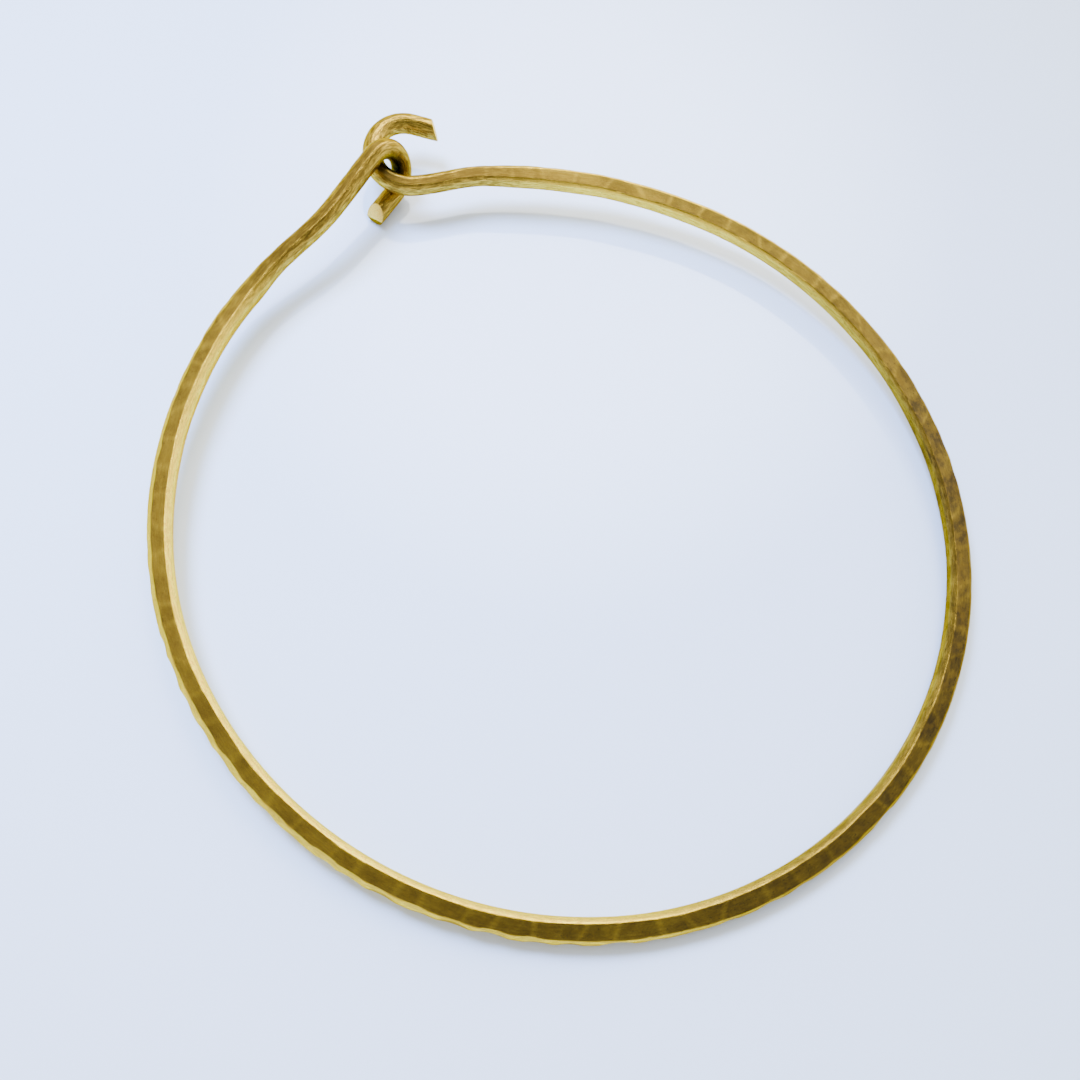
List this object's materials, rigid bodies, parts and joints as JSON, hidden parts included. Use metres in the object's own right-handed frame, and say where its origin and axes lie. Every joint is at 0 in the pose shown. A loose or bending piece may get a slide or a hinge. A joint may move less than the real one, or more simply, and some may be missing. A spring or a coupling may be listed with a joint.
{
  "type": "bangle bracelet",
  "caption": "Slim hammered brass wire bangle: a sprung round hoop whose bent wire ends hook through each other as the clasp.",
  "frame": {"origin": "middle of the hoop: the centre of its inside circle, at the middle of its height", "axes": "+Z along the hoop's axis, +Y towards the clasp, the wire's left end comes from -X and its right end from +X"},
  "size_m": [0.0636, 0.0714, 0.0059],
  "materials": {
    "hammered_brass": "hammered, with brown patina on the hammered faces and a polished inside",
    "wire_brass": "drawn round wire, rubbed bright where it wears and dark where the hooks meet",
    "tip_brass": "drawn round wire with a freshly cut bright end"
  },
  "bodies": {
    "left_half": {"hoop_back_left": "hammered_brass", "hoop_side_left": "hammered_brass", "hoop_front_left": "hammered_brass", "left_shank": "wire_brass", "left_hook": "wire_brass", "left_tip": "tip_brass"},
    "right_half": {"hoop_back_right": "hammered_brass", "hoop_side_right": "hammered_brass", "hoop_front_right": "hammered_brass", "right_shank": "wire_brass", "right_hook": "wire_brass", "right_tip": "tip_brass"}
  },
  "joints": [
    {"name": "hoop_flex", "type": "hinge", "parent": "left_half", "child": "right_half", "pos_m": [0, -0.03, 0], "axis": [-0.0785, 0, 0.9969], "range_deg": [0, 5.5], "stiffness_Nm_per_rad": 0.95}
  ]
}
